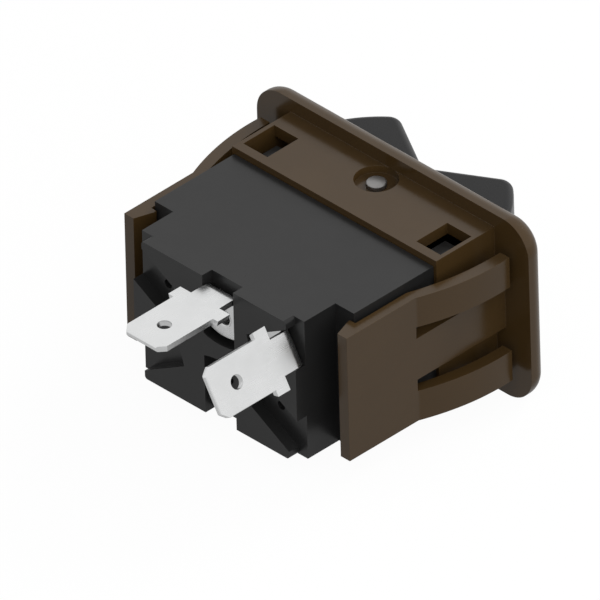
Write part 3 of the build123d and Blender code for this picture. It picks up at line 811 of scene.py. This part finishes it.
class Switch:
    """The whole switch: its mouldings, its metal, and what the housing hides."""

    MOULDINGS = (
        SnapBezel("bezel", Body.BASE, Slot.BROWN, 0.14),
        RoundedMoulding("housing", Body.BASE, Slot.BLACK, 0.1),
        RoundedMoulding("rocker", Body.ROCKER, Slot.ROCKER, 0.12),
    )
    TABS = (
        RoundedMoulding("common_terminal", Body.BASE, Slot.TIN, 0.06),
        RoundedMoulding("load_terminal", Body.BASE, Slot.TIN, 0.06),
    )
    RIVETS = (TubularRivet("common_rivet"), TubularRivet("load_rivet"))
    STAMPINGS = (
        RoundedMoulding("fulcrum_bracket", Body.BASE, Slot.BRASS, 0.06),
        RoundedMoulding("contact_strip", Body.BASE, Slot.BRASS, 0.06),
        RoundedMoulding("seesaw", Body.SEESAW, Slot.BRASS, 0.05),
    )
    PLAIN = {
        "fixed_contact": Slot.SILVER,
        "moving_contact": Slot.SILVER,
        "plunger": Slot.NYLON,
    }

    def __init__(self, finishes: FinishRack) -> None:
        """Keep the finishes."""
        self.finishes = finishes

    def build(self) -> list[bpy.types.Object]:
        """Make and dress every piece.

        Returns:
            The pieces made for the scene.
        """
        spring = PlungerSpring("plunger_spring", Body.ROCKER, Slot.SPRING, 0.0)
        makers = (*self.MOULDINGS, *self.TABS, *self.RIVETS, PivotPin(), *self.STAMPINGS, spring)
        pieces = [maker.build(self.finishes) for maker in makers]
        for name, slot in self.PLAIN.items():
            self.finishes.dress(frame["nodes"][name], slot)
        return pieces


@dataclass(frozen=True)
class Softbox:
    """A square soft lamp: its place and side in millimetres, and its power in watts."""

    name: str
    place: Triple
    size: float
    power: float


@dataclass
class Studio:
    """The plain floor, the soft light and the camera."""

    SOFTBOXES = (
        Softbox("front_softbox", (-60.0, -380.0, 330.0), 220.0, 1.3),
        Softbox("side_softbox", (-390.0, 180.0, 322.0), 800.0, 3.1),
    )

    right: Triple = (-0.7048, -0.7091, -0.0221)
    up: Triple = (0.3982, -0.4211, 0.8149)
    centre_right: float = -10.535
    centre_up: float = -6.261
    view_height: float = 67.05
    camera_reach: float = 300.0
    lamp_aim: Triple = (0.0, 14.0, 0.0)
    world_strength: float = 0.34
    floor_size: float = 4000.0
    floor_shade: float = 0.25
    floor_roughness: float = 0.9
    floor_whiteness: float = 0.85
    floor_glow: float = 1.13
    mirror_share: float = 0.52

    def build(self) -> None:
        """Set up the floor, the world, the lamps, the camera and the view."""
        bpy.context.scene.view_settings.view_transform = "Standard"
        self._floor()
        self._world()
        for softbox in self.SOFTBOXES:
            self._lamp(softbox)
        self._camera()

    def _floor(self) -> None:
        """Lay the pale floor under the switch; it looks white and keeps a soft shadow."""
        mesh = bmesh.new()
        bmesh.ops.create_grid(mesh, x_segments=1, y_segments=1, size=self.floor_size * MM / 2)
        lowest = Vector(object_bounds()[0]).z
        bmesh.ops.translate(mesh, verts=mesh.verts, vec=(0.0, 0.0, lowest))
        floor = hang(mesh, "floor")
        material = bpy.data.materials.new("pale_floor")
        material.use_nodes = True
        sheet = NodeSheet(material.node_tree)
        shader = material.node_tree.nodes["Principled BSDF"]
        shader.inputs["Base Color"].default_value = (*(self.floor_shade,) * 3, 1.0)
        shader.inputs["Roughness"].default_value = self.floor_roughness
        glow = sheet.add("ShaderNodeEmission", Color=(1.0, 1.0, 1.0, 1.0), Strength=self.floor_glow)
        blend = sheet.add("ShaderNodeMixShader")
        seen = self._seen_directly(sheet, self.mirror_share)
        sheet.join(sheet.maths("MULTIPLY", seen, self.floor_whiteness), blend.inputs["Fac"])
        sheet.join(shader.outputs[0], blend.inputs[1])
        sheet.join(glow.outputs[0], blend.inputs[2])
        sheet.join(blend.outputs[0], material.node_tree.nodes["Material Output"].inputs["Surface"])
        floor.data.materials.append(material)
        floor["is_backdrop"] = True

    def _seen_directly(self, sheet: NodeSheet, mirror_share: float = 1.0) -> bpy.types.NodeSocket:
        """Tell what the camera sees directly, by reflection or through glass.

        Args:
            sheet: The sheet of the material or the world.
            mirror_share: How much a reflection counts.

        Returns:
            A socket that is 1 for what is seen directly, the share for reflections and 0 for the rest.
        """
        path = sheet.add("ShaderNodeLightPath")
        mirrored = sheet.maths("MULTIPLY", path.outputs["Is Glossy Ray"], mirror_share)
        direct = sheet.maths("MAXIMUM", path.outputs["Is Camera Ray"], path.outputs["Is Transmission Ray"])
        return sheet.maths("MAXIMUM", direct, mirrored)

    def _world(self) -> None:
        """Make the world white to look at and soft as a light."""
        world = bpy.data.worlds.new("studio")
        bpy.context.scene.world = world
        world.use_nodes = True
        sheet = NodeSheet(world.node_tree)
        background = world.node_tree.nodes["Background"]
        background.inputs["Color"].default_value = (1.0, 1.0, 1.0, 1.0)
        lit = sheet.maths("MULTIPLY", self._seen_directly(sheet), 1.0 - self.world_strength)
        sheet.join(sheet.maths("ADD", lit, self.world_strength), background.inputs["Strength"])

    def _lamp(self, softbox: Softbox) -> None:
        """Hang a softbox that looks at the switch and that bright metal doesn't mirror.

        Args:
            softbox: The lamp to hang.
        """
        light = bpy.data.lights.new(softbox.name, "AREA")
        light.energy = softbox.power
        light.size = softbox.size * MM
        lamp = bpy.data.objects.new(softbox.name, light)
        place = Vector(softbox.place)
        lamp.location = place * MM
        lamp.visible_glossy = False
        lamp.rotation_euler = (Vector(self.lamp_aim) - place).to_track_quat("-Z", "Y").to_euler()
        bpy.context.scene.collection.objects.link(lamp)

    def _camera(self) -> None:
        """Set the parallel-projection camera at the photograph's angle and framing."""
        right = Vector(self.right).normalized()
        back = right.cross(Vector(self.up)).normalized()
        up = back.cross(right)
        data = bpy.data.cameras.new("camera")
        data.type = "ORTHO"
        data.ortho_scale = self.view_height * MM
        camera = bpy.data.objects.new("camera", data)
        place = (right * self.centre_right + up * self.centre_up + back * self.camera_reach) * MM
        turn = Matrix((right, up, back)).transposed().to_4x4()
        camera.matrix_world = Matrix.Translation(place) @ turn
        bpy.context.scene.collection.objects.link(camera)
        bpy.context.scene.camera = camera


def main() -> None:
    """Build the switch and its studio."""
    logging.basicConfig(level=logging.INFO, format="%(name)s: %(message)s")
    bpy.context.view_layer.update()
    for piece in Switch(FinishRack()).build():
        LOG.info("%s has %d faces", piece.name, len(piece.data.polygons))
    Studio().build()


if __name__ == "__main__":
    main()
